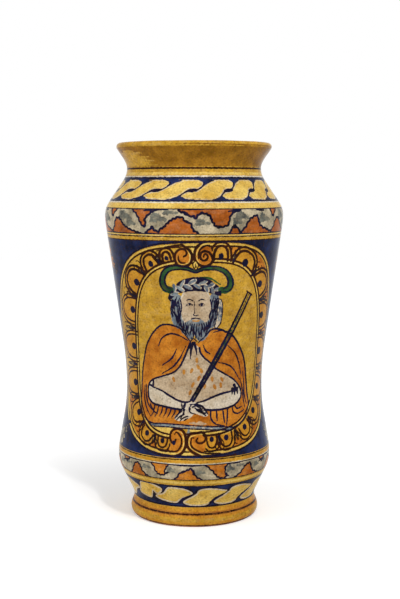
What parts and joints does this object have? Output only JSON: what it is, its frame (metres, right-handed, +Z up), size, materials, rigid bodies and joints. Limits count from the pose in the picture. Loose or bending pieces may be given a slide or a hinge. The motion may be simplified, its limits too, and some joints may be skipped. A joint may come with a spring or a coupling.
{
  "type": "albarello",
  "caption": "Waisted tin-glazed drug jar with a flared rim, painted bands and a framed front panel; stands on a turned foot and holds dry drugs.",
  "frame": {"origin": "centre of the foot ring on the table", "axes": "+Z up the turning axis, the painted panel faces -Y, +X to the viewer's right"},
  "size_m": [0.143, 0.143, 0.3],
  "materials": {
    "bare_clay": "fired earthenware, matt",
    "slip": "fired slip, matt",
    "inner_glaze": "gloss",
    "rim_glaze": "gloss, streaked ochre",
    "yellow_glaze": "gloss",
    "rope_glaze": "gloss, yellow rope on blue",
    "leaf_glaze": "gloss, pale leaves on orange",
    "blue_glaze": "gloss cobalt",
    "frame_glaze": "gloss, yellow with brown arcs",
    "panel_glaze": "gloss mustard with a painted figure",
    "foot_glaze": "gloss, worn at the edge"
  },
  "bodies": {
    "root": {"floor_disc": "bare_clay", "foot_ring": "bare_clay", "base_course": "bare_clay", "waist_wall": "bare_clay", "shoulder_course": "bare_clay", "neck_rim": "bare_clay", "floor_slip": "slip", "foot_slip": "slip", "base_slip": "slip", "shoulder_slip": "slip", "neck_slip": "slip", "inner_glaze": "inner_glaze", "rim_glaze": "rim_glaze", "yellow_stripes": "yellow_glaze", "shoulder_rope_band": "rope_glaze", "shoulder_leaf_band": "leaf_glaze", "blue_field": "blue_glaze", "medallion_frame": "frame_glaze", "portrait_panel": "panel_glaze", "base_leaf_band": "leaf_glaze", "base_rope_band": "rope_glaze", "foot_stripe": "foot_glaze", "foot_glaze": "foot_glaze"}
  },
  "joints": []
}
